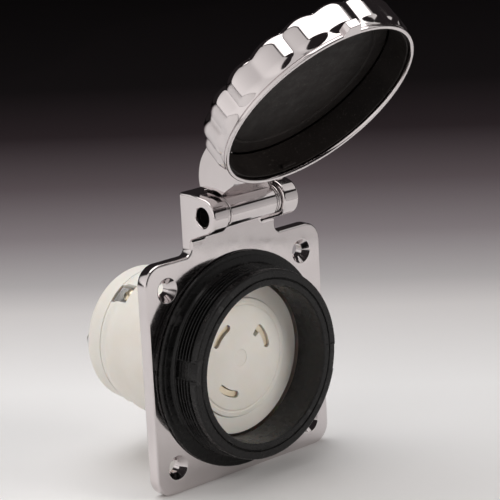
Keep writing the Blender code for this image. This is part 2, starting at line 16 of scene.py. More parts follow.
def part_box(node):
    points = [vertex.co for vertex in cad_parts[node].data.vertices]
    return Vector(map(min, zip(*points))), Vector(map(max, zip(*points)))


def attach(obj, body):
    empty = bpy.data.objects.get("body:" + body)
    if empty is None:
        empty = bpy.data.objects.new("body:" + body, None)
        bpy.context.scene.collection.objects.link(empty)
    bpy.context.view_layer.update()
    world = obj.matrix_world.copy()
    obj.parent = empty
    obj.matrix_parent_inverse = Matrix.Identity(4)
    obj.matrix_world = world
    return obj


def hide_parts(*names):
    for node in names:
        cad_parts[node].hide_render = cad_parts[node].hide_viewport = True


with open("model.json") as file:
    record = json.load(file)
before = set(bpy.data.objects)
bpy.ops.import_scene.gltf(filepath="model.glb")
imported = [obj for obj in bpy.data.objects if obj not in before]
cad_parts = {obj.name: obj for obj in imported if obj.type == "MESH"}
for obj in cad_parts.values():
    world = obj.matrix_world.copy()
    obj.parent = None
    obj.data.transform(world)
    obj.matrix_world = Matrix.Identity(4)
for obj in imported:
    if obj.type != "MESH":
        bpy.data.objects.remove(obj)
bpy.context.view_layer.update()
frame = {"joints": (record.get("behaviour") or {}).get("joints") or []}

MM = 0.001


def box_mm(node):
    low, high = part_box(node)
    return low / MM, high / MM


def joint(name):
    return next(j for j in frame["joints"] if j["name"] == name)


# ---------------------------------------------------------------- sizes taken from the frame

PLATE_LOW, PLATE_HIGH = box_mm("flange_plate")
HALF = PLATE_HIGH.x
TAB_TOP = PLATE_HIGH.z
FLOOR_Z = PLATE_LOW.z
COLLAR_FRONT = box_mm("threaded_collar")[0].y
COLLAR_BACK = box_mm("threaded_collar")[1].y
COLLAR_FLANGE = box_mm("threaded_collar")[1].x
HOUSING_FRONT = box_mm("rear_housing")[0].y
HOUSING_END = box_mm("rear_housing")[1].y
HOUSING_FLANGE = box_mm("rear_housing")[1].x
COVER_RADIUS = box_mm("rear_cover")[1].x
COVER_END = box_mm("rear_cover")[1].y
FACE_Y = box_mm("insulator_face")[0].y
FACE_RADIUS = box_mm("insulator_face")[1].x
PIN_HALF = box_mm("hinge_pin")[1].x

HINGE = joint("lid_hinge")
PIN = Vector(HINGE["pos_m"]) / MM
OPEN = math.radians(HINGE["range_deg"][1])
OVER_OPEN = 5.0                # degrees that the lid goes past its open place
SWING = Matrix.Translation(PIN) @ Matrix.Rotation(-OPEN, 4, "X") @ Matrix.Translation(-PIN)
MOUTH_Y = (SWING.inverted() @ (Vector(joint("cap_turn")["pos_m"]) / MM)).y

# ---------------------------------------------------------------- sizes of the details

PLATE_THICK = 4.8
TAB_HALF = 19.9
LUG_INNER = 12.9
LUG_NOSE = 6.5
HOLE_PLACE = 31.75
PIN_BORE = 3.3
BARREL_RADIUS = 5.4
BARREL_ENDS = (-11.0, 10.6)
ARM_UNDERSIDE = MOUTH_Y - 16.0

COLLAR_BORE = 27.9
COLLAR_FACE = 33.6
THREAD_START = 3.0
THREAD_PITCH = 1.45
THREAD_COUNT = 5
THREAD_CREST = 34.0
THREAD_ROOT = 33.0
NOTCH_ANGLES = (171.2, 351.2)
NOTCH_HALF = 5.4               # degrees each side at the ridges
NOTCH_FLARE = 2.6              # and this much more at the collar's front
NOTCH_FLOOR = 32.8

SLOT_RADIUS = 13.0
SLOT_HALF = 1.3
SLOT_SPAN = 44.0
CONTACTS = {"a": 25.0, "b": 240.0, "c": 130.0}
TERMINAL_LAG = 12.0            # each window and wire hole sits this far round from its contact
CLAMP_LAG = 1.0                # and each clamp and its screw this far
CLAMP_SCREW_Y = 34.3
SCREW_CIRCLE = 30.6
COLLAR_SCREWS = {i + 1: 45 + 90 * i for i in range(4)}
COVER_SCREWS = {1: 65.0, 2: 175.0}
COVER_SCREW_CIRCLE = 20.6

LOBES = 18
LOBE_HEIGHT = 1.2
INDEX_ANGLE = 258.0            # where the cap's finger tab points when it is shut
CAP_TROUGH = 37.15
CAP_LIP = 37.25
CAP_RIM_BORE = 35.9
CAP_WALL_BORE = 36.3
CAP_FLOOR = 13.8               # depths are behind the mouth plane
CAP_BACK = 14.9
RIVET_BORE = 2.8
PAD_FRONT = 11.9


# ---------------------------------------------------------------- mesh helpers

def polar(radius, degrees):
    turn = math.radians(degrees)
    return radius * math.cos(turn), radius * math.sin(turn)


def arc(centre, radius, start, end, steps):
    """Points along an arc, from start to end in degrees, both included."""
    turns = (math.radians(start + (end - start) * i / steps) for i in range(steps + 1))
    return [(centre[0] + radius * math.cos(t), centre[1] + radius * math.sin(t)) for t in turns]


def fillet(corners, steps=4):
    """Round the corners of a closed outline. A corner is (a, b) or (a, b, radius)."""
    points = []
    for i, corner in enumerate(corners):
        here = Vector(corner[:2])
        if len(corner) < 3:
            points.append(tuple(here))
            continue
        back = Vector(corners[i - 1][:2]) - here
        ahead = Vector(corners[(i + 1) % len(corners)][:2]) - here
        half = back.angle(ahead) / 2
        reach = min(corner[2] / math.tan(half), 0.49 * back.length, 0.49 * ahead.length)
        centre = here + (back.normalized() + ahead.normalized()).normalized() * reach / math.cos(half)
        start = here + back.normalized() * reach - centre
        end = here + ahead.normalized() * reach - centre
        first = math.atan2(start.y, start.x)
        sweep = (math.atan2(end.y, end.x) - first + math.pi) % (2 * math.pi) - math.pi
        for k in range(steps + 1):
            turn = first + sweep * k / steps
            points.append((centre.x + start.length * math.cos(turn),
                           centre.y + start.length * math.sin(turn)))
    return points


def flowing(points, steps=6):
    """An open Catmull-Rom curve through the points."""
    ends = [2 * Vector(points[0]) - Vector(points[1])]
    ends += [Vector(p) for p in points]
    ends.append(2 * Vector(points[-1]) - Vector(points[-2]))
    curve = []
    for a, b, c, d in zip(ends, ends[1:], ends[2:], ends[3:]):
        for k in range(steps):
            t = k / steps
            p = b * 2 + (c - a) * t + (a * 2 - b * 5 + c * 4 - d) * t * t
            p += (b * 3 - a - c * 3 + d) * t ** 3
            curve.append(tuple(p / 2))
    return curve + [tuple(points[-1])]


def solid(name, verts, faces):
    """A closed mesh with its faces pointing out."""
    mesh = bpy.data.meshes.new(name)
    mesh.from_pydata(verts, [], faces)
    bm = bmesh.new()
    bm.from_mesh(mesh)
    bmesh.ops.recalc_face_normals(bm, faces=bm.faces)
    if bm.calc_volume(signed=True) < 0:
        bmesh.ops.reverse_faces(bm, faces=bm.faces)
    bm.to_mesh(mesh)
    bm.free()
    obj = bpy.data.objects.new(name, mesh)
    bpy.context.scene.collection.objects.link(obj)
    return obj


def lathe(name, profile, segments=160, angles=None, shape=None):
    """Turn a closed (radius, y) profile about the collar's axis.

    shape(index, radius, y, angle) may move a point; it returns its radius and y.
    """
    angles = angles or [2 * math.pi * i / segments for i in range(segments)]
    count = len(angles)
    verts, faces, rings = [], [], []
    for index, (radius, y) in enumerate(profile):
        if radius == 0:
            rings.append([len(verts)])
            verts.append((0, y, 0))
            continue
        rings.append(list(range(len(verts), len(verts) + count)))
        for angle in angles:
            r, level = shape(index, radius, y, angle) if shape else (radius, y)
            verts.append((r * math.cos(angle), level, r * math.sin(angle)))
    for near, far in zip(rings, rings[1:] + rings[:1]):
        if len(near) == 1 and len(far) == 1:
            continue
        for i in range(count):
            j = (i + 1) % count
            if len(near) == 1:
                faces.append((near[0], far[i], far[j]))
            elif len(far) == 1:
                faces.append((near[i], near[j], far[0]))
            else:
                faces.append((near[i], near[j], far[j], far[i]))
    return solid(name, verts, faces)


def rod(name, radius, low, high, segments=32):
    """A plain cylinder about the collar's axis."""
    return lathe(name, [(0, low), (radius, low), (radius, high), (0, high)], segments)


def prism(name, outline, axis, low, high):
    """Extrude an outline along X, whose points are (y, z), or along Y, whose points are (x, z)."""
    count = len(outline)
    verts = []
    for level in (low, high):
        verts += [(level, a, b) if axis == "X" else (a, level, b) for a, b in outline]
    faces = [tuple(range(count)), tuple(range(count, 2 * count))]
    faces += [(i, (i + 1) % count, count + (i + 1) % count, count + i) for i in range(count)]
    return solid(name, verts, faces)


def block(name, low, high):
    outline = [(low[0], low[2]), (high[0], low[2]), (high[0], high[2]), (low[0], high[2])]
    return prism(name, outline, "Y", low[1], high[1])


def ring_sector(name, inner, outer, centre, span, low, high, steps=24):
    start, end = centre - span / 2, centre + span / 2
    outline = arc((0, 0), outer, start, end, steps) + arc((0, 0), inner, end, start, steps)
    return prism(name, outline, "Y", low, high)


def rounded_slot(name, angle, span, inner, outer, low, high):
    """A curved slot whose two ends are half round."""
    mid, half = (inner + outer) / 2, (outer - inner) / 2
    inset = math.degrees(half / mid)
    start, end = angle - span / 2 + inset, angle + span / 2 - inset
    outline = arc((0, 0), outer, start, end, 24)
    outline += arc(polar(mid, end), half, end, end + 180, 8)[1:-1]
    outline += arc((0, 0), inner, end, start, 24)
    outline += arc(polar(mid, start), half, start + 180, start + 360, 8)[1:-1]
    return prism(name, outline, "Y", low, high)


def move(obj, x=0.0, y=0.0, z=0.0):
    obj.data.transform(Matrix.Translation((x, y, z)))
    return obj


def place(obj, radius, degrees, y=0.0):
    """Move a mesh from the collar's axis onto a circle round it."""
    x, z = polar(radius, degrees)
    return move(obj, x, y, z)


def turn_about_y(obj, degrees):
    """Turn a mesh counterclockwise, seen from the front, about the collar's axis."""
    obj.data.transform(Matrix.Rotation(math.radians(-degrees), 4, "Y"))
    return obj


def radial(obj):
    """Lay a piece turned about Y along X, its +y end outwards."""
    obj.data.transform(Matrix.Rotation(math.radians(-90), 4, "Z"))
    return obj


def along_pin(obj):
    """Lay a piece turned about Y onto the hinge axis."""
    return move(radial(obj), *PIN)


def apply_modifiers(obj):
    graph = bpy.context.evaluated_depsgraph_get()
    mesh = bpy.data.meshes.new_from_object(obj.evaluated_get(graph), depsgraph=graph)
    obj.modifiers.clear()
    obj.data = mesh


def combine(obj, operation, *tools):
    for tool in tools:
        change = obj.modifiers.new(tool.name, "BOOLEAN")
        change.operation = operation
        change.solver = "EXACT"
        change.object = tool
    apply_modifiers(obj)
    for tool in tools:
        bpy.data.objects.remove(tool)


def cut(obj, *tools):
    combine(obj, "DIFFERENCE", *tools)


def join(obj, *tools):
    combine(obj, "UNION", *tools)


def merge_flat(obj, distance=0.01, degrees=0.4):
    """Merge stray vertices and coplanar faces that a Boolean leaves."""
    bm = bmesh.new()
    bm.from_mesh(obj.data)
    bmesh.ops.remove_doubles(bm, verts=bm.verts, dist=distance)
    bmesh.ops.dissolve_limit(bm, angle_limit=math.radians(degrees), verts=bm.verts, edges=bm.edges)
    bm.to_mesh(obj.data)
    bm.free()


def round_edges(obj, width, segments=3, degrees=35.0):
    edge = obj.modifiers.new("edge", "BEVEL")
    edge.width = width
    edge.segments = segments
    edge.limit_method = "ANGLE"
    edge.angle_limit = math.radians(degrees)
    edge.miter_outer = "MITER_ARC"
    apply_modifiers(obj)


def show(obj, slot, body, *nodes, lid=False, sharp=40.0, look=None):
    """Finish a piece: its scale, its finish, its body and the CAD nodes it stands for."""
    if lid:
        obj.data.transform(SWING)
    obj.data.transform(Matrix.Scale(MM, 4))
    obj.data.materials.clear()
    obj.data.materials.append(look or LOOKS[slot])
    obj.data.shade_smooth()
    obj.data.set_sharp_from_angle(angle=math.radians(sharp))
    weighted = obj.modifiers.new("normals", "WEIGHTED_NORMAL")
    weighted.keep_sharp = True
    weighted.weight = 100
    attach(obj, body)
    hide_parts(*nodes)
    return obj


# ---------------------------------------------------------------- materials

class Finish:
    """A Principled material whose nodes are added one at a time."""

    def __init__(self, name, metallic=0.0, specular=0.5):
        self.material = bpy.data.materials.new(name)
        self.material.use_nodes = True
        self.tree = self.material.node_tree
        self.shader = self.tree.nodes["Principled BSDF"]
        self.shader.inputs["Metallic"].default_value = metallic
        self.shader.inputs["Specular IOR Level"].default_value = specular
        self.place = self.node("ShaderNodeTexCoord").outputs["Object"]
        self.height = None

    def node(self, kind, **settings):
        made = self.tree.nodes.new(kind)
        for key, value in settings.items():
            setattr(made, key, value)
        return made

    def link(self, source, target):
        self.tree.links.new(source, target)

    def noise(self, size, detail=3.0, stretch=(1.0, 1.0, 1.0), rough=0.5):
        """Noise whose features are about size millimetres across."""
        scaled = self.node("ShaderNodeMapping")
        scaled.inputs["Scale"].default_value = stretch
        self.link(self.place, scaled.inputs["Vector"])
        made = self.node("ShaderNodeTexNoise")
        made.inputs["Scale"].default_value = 1.0 / (size * MM)
        made.inputs["Detail"].default_value = detail
        made.inputs["Roughness"].default_value = rough
        self.link(scaled.outputs["Vector"], made.inputs["Vector"])
        return made.outputs["Fac"]

    def spread(self, value, low, high, start=0.3, end=0.7):
        """Map a value between start and end to low and high."""
        made = self.node("ShaderNodeMapRange")
        for name, number in (("From Min", start), ("From Max", end), ("To Min", low), ("To Max", high)):
            made.inputs[name].default_value = number
        self.link(value, made.inputs["Value"])
        return made.outputs["Result"]

    def edges(self, low=0.5, high=0.58):
        """1 on convex edges and 0 on flats."""
        pointed = self.node("ShaderNodeNewGeometry").outputs["Pointiness"]
        return self.spread(pointed, 0.0, 1.0, low, high)

    def mix(self, factor, a, b, blend="MIX"):
        """Mix two colours; each is a tuple or a socket."""
        made = self.node("ShaderNodeMix", data_type="RGBA", blend_type=blend)
        for socket, value in ((made.inputs[0], factor), (made.inputs[6], a), (made.inputs[7], b)):
            if isinstance(value, (int, float)):
                socket.default_value = value
            elif isinstance(value, tuple):
                socket.default_value = (*value, 1.0)
            else:
                self.link(value, socket)
        return made.outputs[2]

    def colour(self, socket):
        self.link(socket, self.shader.inputs["Base Color"])

    def roughness(self, socket):
        self.link(socket, self.shader.inputs["Roughness"])

    def bump(self, height, depth, strength=1.0):
        """Add relief of depth millimetres on top of what is there."""
        made = self.node("ShaderNodeBump")
        made.inputs["Distance"].default_value = depth * MM
        made.inputs["Strength"].default_value = strength
        self.link(height, made.inputs["Height"])
        if self.height:
            self.link(self.height, made.inputs["Normal"])
        self.height = made.outputs["Normal"]
        self.link(self.height, self.shader.inputs["Normal"])


def polished_steel(painted_shade_beyond=None):
    """Polished steel; if a distance in millimetres is given, everything further out along X to either side
    is painted near black: painted shade for ends that sit in shadow inside holes.
    """
    look = Finish("polished_steel", metallic=1.0)
    cloudy = look.noise(18, detail=2)
    colour = look.mix(look.spread(cloudy, 0, 1), (0.665, 0.620, 0.620), (0.715, 0.672, 0.672))
    smear = look.noise(6, detail=5, stretch=(1, 1, 0.35))
    roughness = look.spread(smear, 0.05, 0.12)
    if painted_shade_beyond:
        split = look.node("ShaderNodeSeparateXYZ")
        look.link(look.place, split.inputs["Vector"])
        side = look.node("ShaderNodeMath", operation="ABSOLUTE")
        look.link(split.outputs["X"], side.inputs[0])
        # painted shade: the colour goes near black beyond the given distance along X, where the pin sits
        # in its holes
        painted_shade_mask = look.spread(side.outputs["Value"], 0, 1, (painted_shade_beyond - 0.3) * MM, painted_shade_beyond * MM)
        colour = look.mix(painted_shade_mask, colour, (0.010, 0.009, 0.009))
        roughness = look.spread(painted_shade_mask, 0.08, 0.5, 0, 1)
    look.colour(colour)
    look.roughness(roughness)
    look.bump(look.noise(9, detail=1), 0.012)
    look.bump(look.noise(0.7, detail=3), 0.0012)
    return look.material


def black_plastic():
    look = Finish("black_plastic", specular=0.24)
    patches = look.noise(9, detail=3)
    base = look.mix(look.spread(patches, 0, 1), (0.0036, 0.0034, 0.0035), (0.0062, 0.0058, 0.0057))
    look.colour(look.mix(look.edges(), base, (0.022, 0.021, 0.021)))
    look.roughness(look.spread(look.noise(2.5, detail=5), 0.20, 0.34))
    look.bump(look.noise(1.6, detail=4), 0.010)
    look.bump(look.noise(0.25, detail=2), 0.003)
    return look.material


def white_nylon():
    look = Finish("white_nylon", specular=0.42)
    patches = look.noise(14, detail=3)
    base = look.mix(look.spread(patches, 0, 1), (0.80, 0.755, 0.685), (0.85, 0.815, 0.76))
    # painted shade: concave creases and hollows are coloured a darker warm tan, where shade falls
    painted_crease_shade = look.edges(0.5, 0.42)
    look.colour(look.mix(painted_crease_shade, base, (0.62, 0.54, 0.44)))
    look.roughness(look.spread(look.noise(3, detail=5), 0.34, 0.50))
    look.bump(look.noise(7, detail=2), 0.03)
    look.bump(look.noise(0.5, detail=3), 0.004)
    look.shader.inputs["Subsurface Weight"].default_value = 0.35
    look.shader.inputs["Subsurface Radius"].default_value = (1.0, 0.7, 0.5)
    look.shader.inputs["Subsurface Scale"].default_value = 2.2 * MM
    return look.material


def black_rubber():
    look = Finish("black_rubber", specular=0.2)
    patches = look.noise(12, detail=4)
    base = look.mix(look.spread(patches, 0, 1), (0.0100, 0.0082, 0.0075), (0.0165, 0.0135, 0.0125))
    dust = look.spread(look.noise(0.9, detail=2, rough=0.7), 0, 1, 0.60, 0.72)
    look.colour(look.mix(dust, base, (0.045, 0.038, 0.034)))
    look.roughness(look.spread(look.noise(4, detail=4), 0.48, 0.68))
    look.bump(look.noise(0.8, detail=4, rough=0.65), 0.02)
    return look.material


def brass():
    look = Finish("brass", metallic=1.0)
    tarnish = look.noise(4, detail=5)
    look.colour(look.mix(look.spread(tarnish, 0, 1), (0.92, 0.83, 0.66), (0.86, 0.74, 0.54)))
    look.roughness(look.spread(look.noise(1.5, detail=4), 0.28, 0.44))
    look.bump(look.noise(0.4, detail=3, stretch=(1, 6, 1)), 0.004)
    return look.material


def zinc_steel():
    look = Finish("zinc_steel", metallic=1.0)
    cloud = look.noise(5, detail=4)
    look.colour(look.mix(look.spread(cloud, 0, 1), (0.60, 0.61, 0.62), (0.70, 0.69, 0.66)))
    look.roughness(look.spread(look.noise(1.2, detail=4, stretch=(1, 5, 1)), 0.25, 0.42))
    look.bump(look.noise(0.3, detail=3, stretch=(1, 8, 1)), 0.004)
    return look.material


LOOKS = {make.__name__: make() for make in
         (polished_steel, black_plastic, white_nylon, black_rubber, brass, zinc_steel)}


# ---------------------------------------------------------------- flange plate and hinge

def lug_outline():
    """One hinge lug in (y, z): up the tab, over its top and forward round the pin."""
    foot = 46.6
    nose = arc((PIN.y, PIN.z), LUG_NOSE, 96, 252, 30)
    return [(-1.0, foot), (-1.0, TAB_TOP), (-PLATE_THICK - 1.0, TAB_TOP)] + nose + [(-PLATE_THICK, foot)]


def countersink(x, z):
    """The shape of one screw hole: bore, cone and a rim that turns over onto the face."""
    bore, rim = 2.3, 4.35
    face = -PLATE_THICK
    profile = [(0, 1.0), (bore, 1.0), (bore, face + rim - bore), (rim - 0.12, face + 0.14),
               (rim, face + 0.045), (rim + 0.16, face), (rim + 0.16, face - 1.0), (0, face - 1.0)]
    return move(lathe("countersink", profile, 64), x=x, z=z)


def pin_hole(side):
    """The pin's hole through one lug, eased at its outer end."""
    inner, outer = LUG_INNER - 1.5, TAB_HALF
    lip = arc((PIN_BORE + 0.8, outer - 0.8), 0.8, 180, 90, 7)
    profile = [(0, inner), (PIN_BORE, inner)] + lip + [(PIN_BORE + 0.8, outer + 1), (0, outer + 1)]
    return along_pin(lathe("pin_hole", [(r, side * y) for r, y in profile], 64))


def flange_plate():
    outline = fillet([(-HALF, -HALF, 7.0), (HALF, -HALF, 7.0), (HALF, HALF, 7.0),
                      (TAB_HALF, HALF, 2.5), (TAB_HALF, TAB_TOP), (-TAB_HALF, TAB_TOP),
                      (-TAB_HALF, HALF, 2.5), (-HALF, HALF, 7.0)], 12)
    plate = prism("flange_plate_cast", outline, "Y", -PLATE_THICK, 0)
    lugs = [prism("lug", lug_outline(), "X", min(a, b), max(a, b))
            for a, b in ((-TAB_HALF, -LUG_INNER), (LUG_INNER, TAB_HALF))]
    join(plate, *lugs)
    merge_flat(plate)
    round_edges(plate, 0.9, 4)
    tools = [rod("port", 28.2, 1, -8, 128)]
    tools += [countersink(x, z) for x in (-HOLE_PLACE, HOLE_PLACE) for z in (-HOLE_PLACE, HOLE_PLACE)]
    tools += [pin_hole(-1), pin_hole(1)]
    cut(plate, *tools)
    show(plate, "polished_steel", "receptacle", "flange_plate")


def hinge_pin():
    """The pin, with a deep cone drilled in each end."""
    r, end = 3.0, PIN_HALF
    half = [(0, end - 7.5), (2.55, end - 0.4), (2.75, end), (r - 0.08, end - 0.06), (r, end - 0.3)]
    profile = half + [(radius, -x) for radius, x in reversed(half)]
    pin = along_pin(lathe("hinge_pin_turned", profile, 72))
    # the pin's ends, down in the lugs' holes, are painted near black as shade
    show(pin, "polished_steel", "receptacle", "hinge_pin", look=polished_steel(painted_shade_beyond=PIN_HALF - 8.0))


def ring(name, inner, outer, low, high, edge=0.25, segments=96):
    """A flat ring with eased edges."""
    corners = [(inner, low, edge), (outer, low, edge), (outer, high, edge), (inner, high, edge)]
    return lathe(name, fillet(corners, 3), segments)


def hinge_washers():
    for name in ("hinge_washer_left", "hinge_washer_right_inner", "hinge_washer_right_outer"):
        low, high = box_mm(name)
        washer = along_pin(ring(name + "_turned", PIN_BORE, BARREL_RADIUS - 0.2, low.x, high.x, 0.2))
        show(washer, "polished_steel", "receptacle", name)


# ---------------------------------------------------------------- collar and seals

def thread_profile():
    """Rounded ridges from the front band back, as (radius, y)."""
    points = []
    for i in range(THREAD_COUNT):
        y = COLLAR_FRONT + THREAD_START + i * THREAD_PITCH
        points += fillet([(THREAD_ROOT - 0.6, y + 0.10), (THREAD_ROOT, y + 0.08, 0.15),
                          (THREAD_ROOT, y + 0.52, 0.18), (THREAD_CREST, y + 0.80, 0.2),
                          (THREAD_CREST, y + 1.18, 0.15), (THREAD_ROOT, y + 1.34, 0.08),
                          (THREAD_ROOT - 0.6, y + 1.36)], 3)[1:-1]
    return points


def collar_profile():
    front = COLLAR_FRONT
    shoulder = COLLAR_BACK - 1.4
    rim = COLLAR_FLANGE
    groove = 30.5
    seal_inner, seal_outer, seal_front = 33.9, 35.4, COLLAR_BACK - 1.0
    lip = [(COLLAR_BORE, COLLAR_BACK), (COLLAR_BORE, front, 0.6),
           (groove - 0.45, front, 0.1), (groove - 0.1, front + 0.5, 0.15),
           (groove + 0.1, front + 0.5, 0.15), (groove + 0.35, front, 0.1), (COLLAR_FACE, front, 0.75),
           (COLLAR_FACE, front + THREAD_START - 0.15, 0.12),
           (THREAD_ROOT, front + THREAD_START + 0.1)]
    base = [(THREAD_ROOT, shoulder - 1.9, 0.5), (34.0, shoulder - 1.5, 0.6), (34.3, shoulder - 0.4, 0.7),
            (rim - 1.9, shoulder, 0.5), (rim - 1.6, shoulder + 0.15, 0.2), (rim, shoulder + 0.25, 0.9),
            (rim, COLLAR_BACK, 0.2), (seal_outer, COLLAR_BACK), (seal_outer, seal_front),
            (seal_inner, seal_front), (seal_inner, COLLAR_BACK)]
    # the two halves are rounded together and the ridges go between them
    rounded = fillet(lip + base, 4)
    cut_at = next(i for i, (r, y) in enumerate(rounded) if r == THREAD_ROOT and y > front + THREAD_START)
    return rounded[:cut_at + 1] + thread_profile() + rounded[cut_at + 1:]


def collar_angles():
    """Even steps, with finer ones across the walls of the two notches."""
    near, far = NOTCH_HALF - 1.2, NOTCH_HALF + NOTCH_FLARE + 1.2
    angles = [360.0 * i / 240 for i in range(240)]
    for centre in NOTCH_ANGLES:
        angles = [a for a in angles if not near < abs(a - centre) < far]
        steps = [near + (far - near) * i / 16 for i in range(17)]
        angles += [centre + side * step for side in (-1, 1) for step in steps]
    return [math.radians(a) for a in sorted(angles)]


def notch_depth(y, angle):
    """1 inside a notch, 0 outside; the notch opens out towards the collar's front."""
    degrees = math.degrees(angle)
    away = min(abs((degrees - centre + 180) % 360 - 180) for centre in NOTCH_ANGLES)
    front = min(max((COLLAR_FRONT + THREAD_START - y) / THREAD_START, 0.0), 1.0)
    edge = NOTCH_HALF + NOTCH_FLARE * front ** 1.5
    return min(max((edge - away) / 0.4 + 0.5, 0.0), 1.0)


def threaded_collar():
    end = COLLAR_FRONT + THREAD_START + THREAD_COUNT * THREAD_PITCH - 0.6

    def shape(index, radius, y, angle):
        depth = notch_depth(y, angle)
        if depth == 0 or y > end or radius < NOTCH_FLOOR:
            return radius, y
        return radius + depth * (NOTCH_FLOOR - radius), y

    collar = lathe("threaded_collar_moulded", collar_profile(), angles=collar_angles(), shape=shape)
    show(collar, "black_plastic", "receptacle", "threaded_collar", sharp=38)


def seals():
    for name, inner, outer in (("collar_seal", 34.2, 35.1), ("plate_seal", 32.6, 34.2)):
        low, high = box_mm(name)
        seal = ring(name + "_ring", inner, outer, low.y, high.y, 0.3, 128)
        show(seal, "black_rubber", "receptacle", name)


def screw(name, radius, head, length, height, recess="cross"):
    """A screw along +Y, its head's underside at y = 0 and its thread towards -Y."""
    low = -length
    pitch = 0.7
    ridges = []
    for i in range(max(int(length / pitch) - 2, 2)):
        y = -0.8 - i * pitch
        ridges += [(radius, y), (radius - 0.18, y - 0.3)]
    profile = [(0, height), (head * 0.45, height - 0.06), (head * 0.85, height - 0.45),
               (head - 0.05, height * 0.45), (head, 0.2), (head - 0.15, 0), (radius, 0)]
    profile += ridges + [(radius - 0.1, low + 0.6), (radius * 0.5, low), (0, low)]
    made = lathe(name, profile, 48)
    if recess == "cross":
        tools = [block("recess", (-head * 0.55, height - 0.8, -0.28), (head * 0.55, height + 1, 0.28)),
                 block("recess", (-0.28, height - 0.8, -head * 0.55), (0.28, height + 1, head * 0.55))]
    else:
        tools = [block("recess", (-head - 1, height - 0.75, -0.38), (head + 1, height + 1, 0.38))]
    for tool in tools:
        cut(made, turn_about_y(tool, 28))
    return made


def pan_screw(node, radius, head, height, circle, angle):
    """A cross-recessed screw whose length comes from its CAD node."""
    low, high = box_mm(node)
    made = screw(node + "_pan_head", radius, head, high.y - height - low.y, height)
    show(place(made, circle, angle, high.y - height), "zinc_steel", "receptacle", node)


def collar_screws():
    for i, angle in COLLAR_SCREWS.items():
        pan_screw(f"collar_screw_{i}", 1.3, 2.6, 1.8, SCREW_CIRCLE, angle)


# ---------------------------------------------------------------- receptacle body

def slot_tools(low, high):
    """A cutter for each locking slot."""
    inner, outer = SLOT_RADIUS - SLOT_HALF, SLOT_RADIUS + SLOT_HALF
    return [rounded_slot("slot", angle, SLOT_SPAN, inner, outer, low, high) for angle in CONTACTS.values()]


def insulator_face():
    back = 6.0
    corners = [(0, back), (FACE_RADIUS, back), (FACE_RADIUS, FACE_Y, 0.45), (19.6, FACE_Y, 0.2),
               (19.3, FACE_Y + 0.22, 0.2), (18.9, FACE_Y + 0.22, 0.2), (18.6, FACE_Y, 0.2),
               (3.1, FACE_Y, 0.1), (2.9, FACE_Y + 0.15, 0.1), (0, FACE_Y + 0.15)]
    face = lathe("insulator_face_moulded", fillet(corners, 3), 192)
    tools = slot_tools(FACE_Y - 1, back + 1)
    hook = CONTACTS["a"] + SLOT_SPAN / 2 - 5.0
    tools.append(ring_sector("hook", SLOT_RADIUS - 3.4, SLOT_RADIUS, hook, 9.8, FACE_Y - 1, 0, 8))
    cut(face, *tools)
    round_edges(face, 0.45, 4, 50)
    show(face, "white_nylon", "receptacle", "insulator_face")


def contact_carrier():
    low, high = box_mm("contact_carrier")
    corners = [(0, high.y), (20.0, high.y, 0.6), (20.0, 8.4, 0.4), (FACE_RADIUS, 8.4, 0.3),
               (FACE_RADIUS, low.y, 0.3), (0, low.y)]
    carrier = lathe("contact_carrier_moulded", fillet(corners, 3), 128)
    cut(carrier, *slot_tools(5, 29))
    show(carrier, "white_nylon", "receptacle", "contact_carrier")


def contacts():
    """Curved brass grips with rounded mouths, each on a terminal block."""
    names = {"a": "line_contact_a", "b": "line_contact_b", "c": "neutral_contact"}
    gap = 0.3
    inner, outer = SLOT_RADIUS - SLOT_HALF + gap, SLOT_RADIUS + SLOT_HALF - gap
    for key, node in names.items():
        low, high = box_mm(node)
        angle = CONTACTS[key]
        grip = rounded_slot(node + "_grip", angle, SLOT_SPAN - 4.0, inner, outer, low.y, high.y)
        base = block("base", (SLOT_RADIUS - 0.6, 29.5, -3.4), (22.4, 38.0, 3.4))
        join(grip, turn_about_y(base, angle - CLAMP_LAG))
        merge_flat(grip)
        round_edges(grip, 0.35, 3, 45)
        show(grip, "brass", "receptacle", node)


def terminals():
    """A ribbed steel pressure plate under the head of a slotted brass screw, in each window."""
    for key, angle in CONTACTS.items():
        turn = angle - CLAMP_LAG
        plate = block("terminal_clamp_" + key + "_plate", (23.6, 32.4, -3.0), (24.8, 41.2, 3.0))
        ribs = [block("rib", (24.6, 37.5 + 0.9 * i, -4), (25.5, 37.85 + 0.9 * i, 4)) for i in range(4)]
        cut(plate, *ribs, move(radial(rod("hole", 1.8, 15, 28)), y=CLAMP_SCREW_Y))
        round_edges(plate, 0.1, 2)
        show(turn_about_y(plate, turn), "zinc_steel", "receptacle", "terminal_clamp_" + key)
        head = radial(screw("terminal_screw_" + key + "_slotted", 1.5, 2.3, 7.7, 1.5, "slot"))
        move(head, x=25.1, y=CLAMP_SCREW_Y)
        show(turn_about_y(head, turn), "brass", "receptacle", "terminal_screw_" + key)


def housing_profile():
    wall = 27.2
    inner = FACE_RADIUS + 0.08
    flange = 1.4
    return fillet([
        (inner, HOUSING_FRONT, 0.35), (COLLAR_BORE - 0.5, HOUSING_FRONT, 0.4),
        (COLLAR_BORE - 0.5, flange, 0.2), (HOUSING_FLANGE, flange, 0.3),
        (HOUSING_FLANGE, flange + 2.6, 0.7), (wall, flange + 2.6, 0.8), (wall, 36.3, 9.0),
        (COVER_RADIUS + 0.2, 40.4, 4.0), (COVER_RADIUS, HOUSING_END, 0.12), (22.6, HOUSING_END),
        (22.6, 39.0, 0.5), (24.4, 37.0, 0.5), (24.4, 9.0, 0.5), (inner, 8.0)], 5)


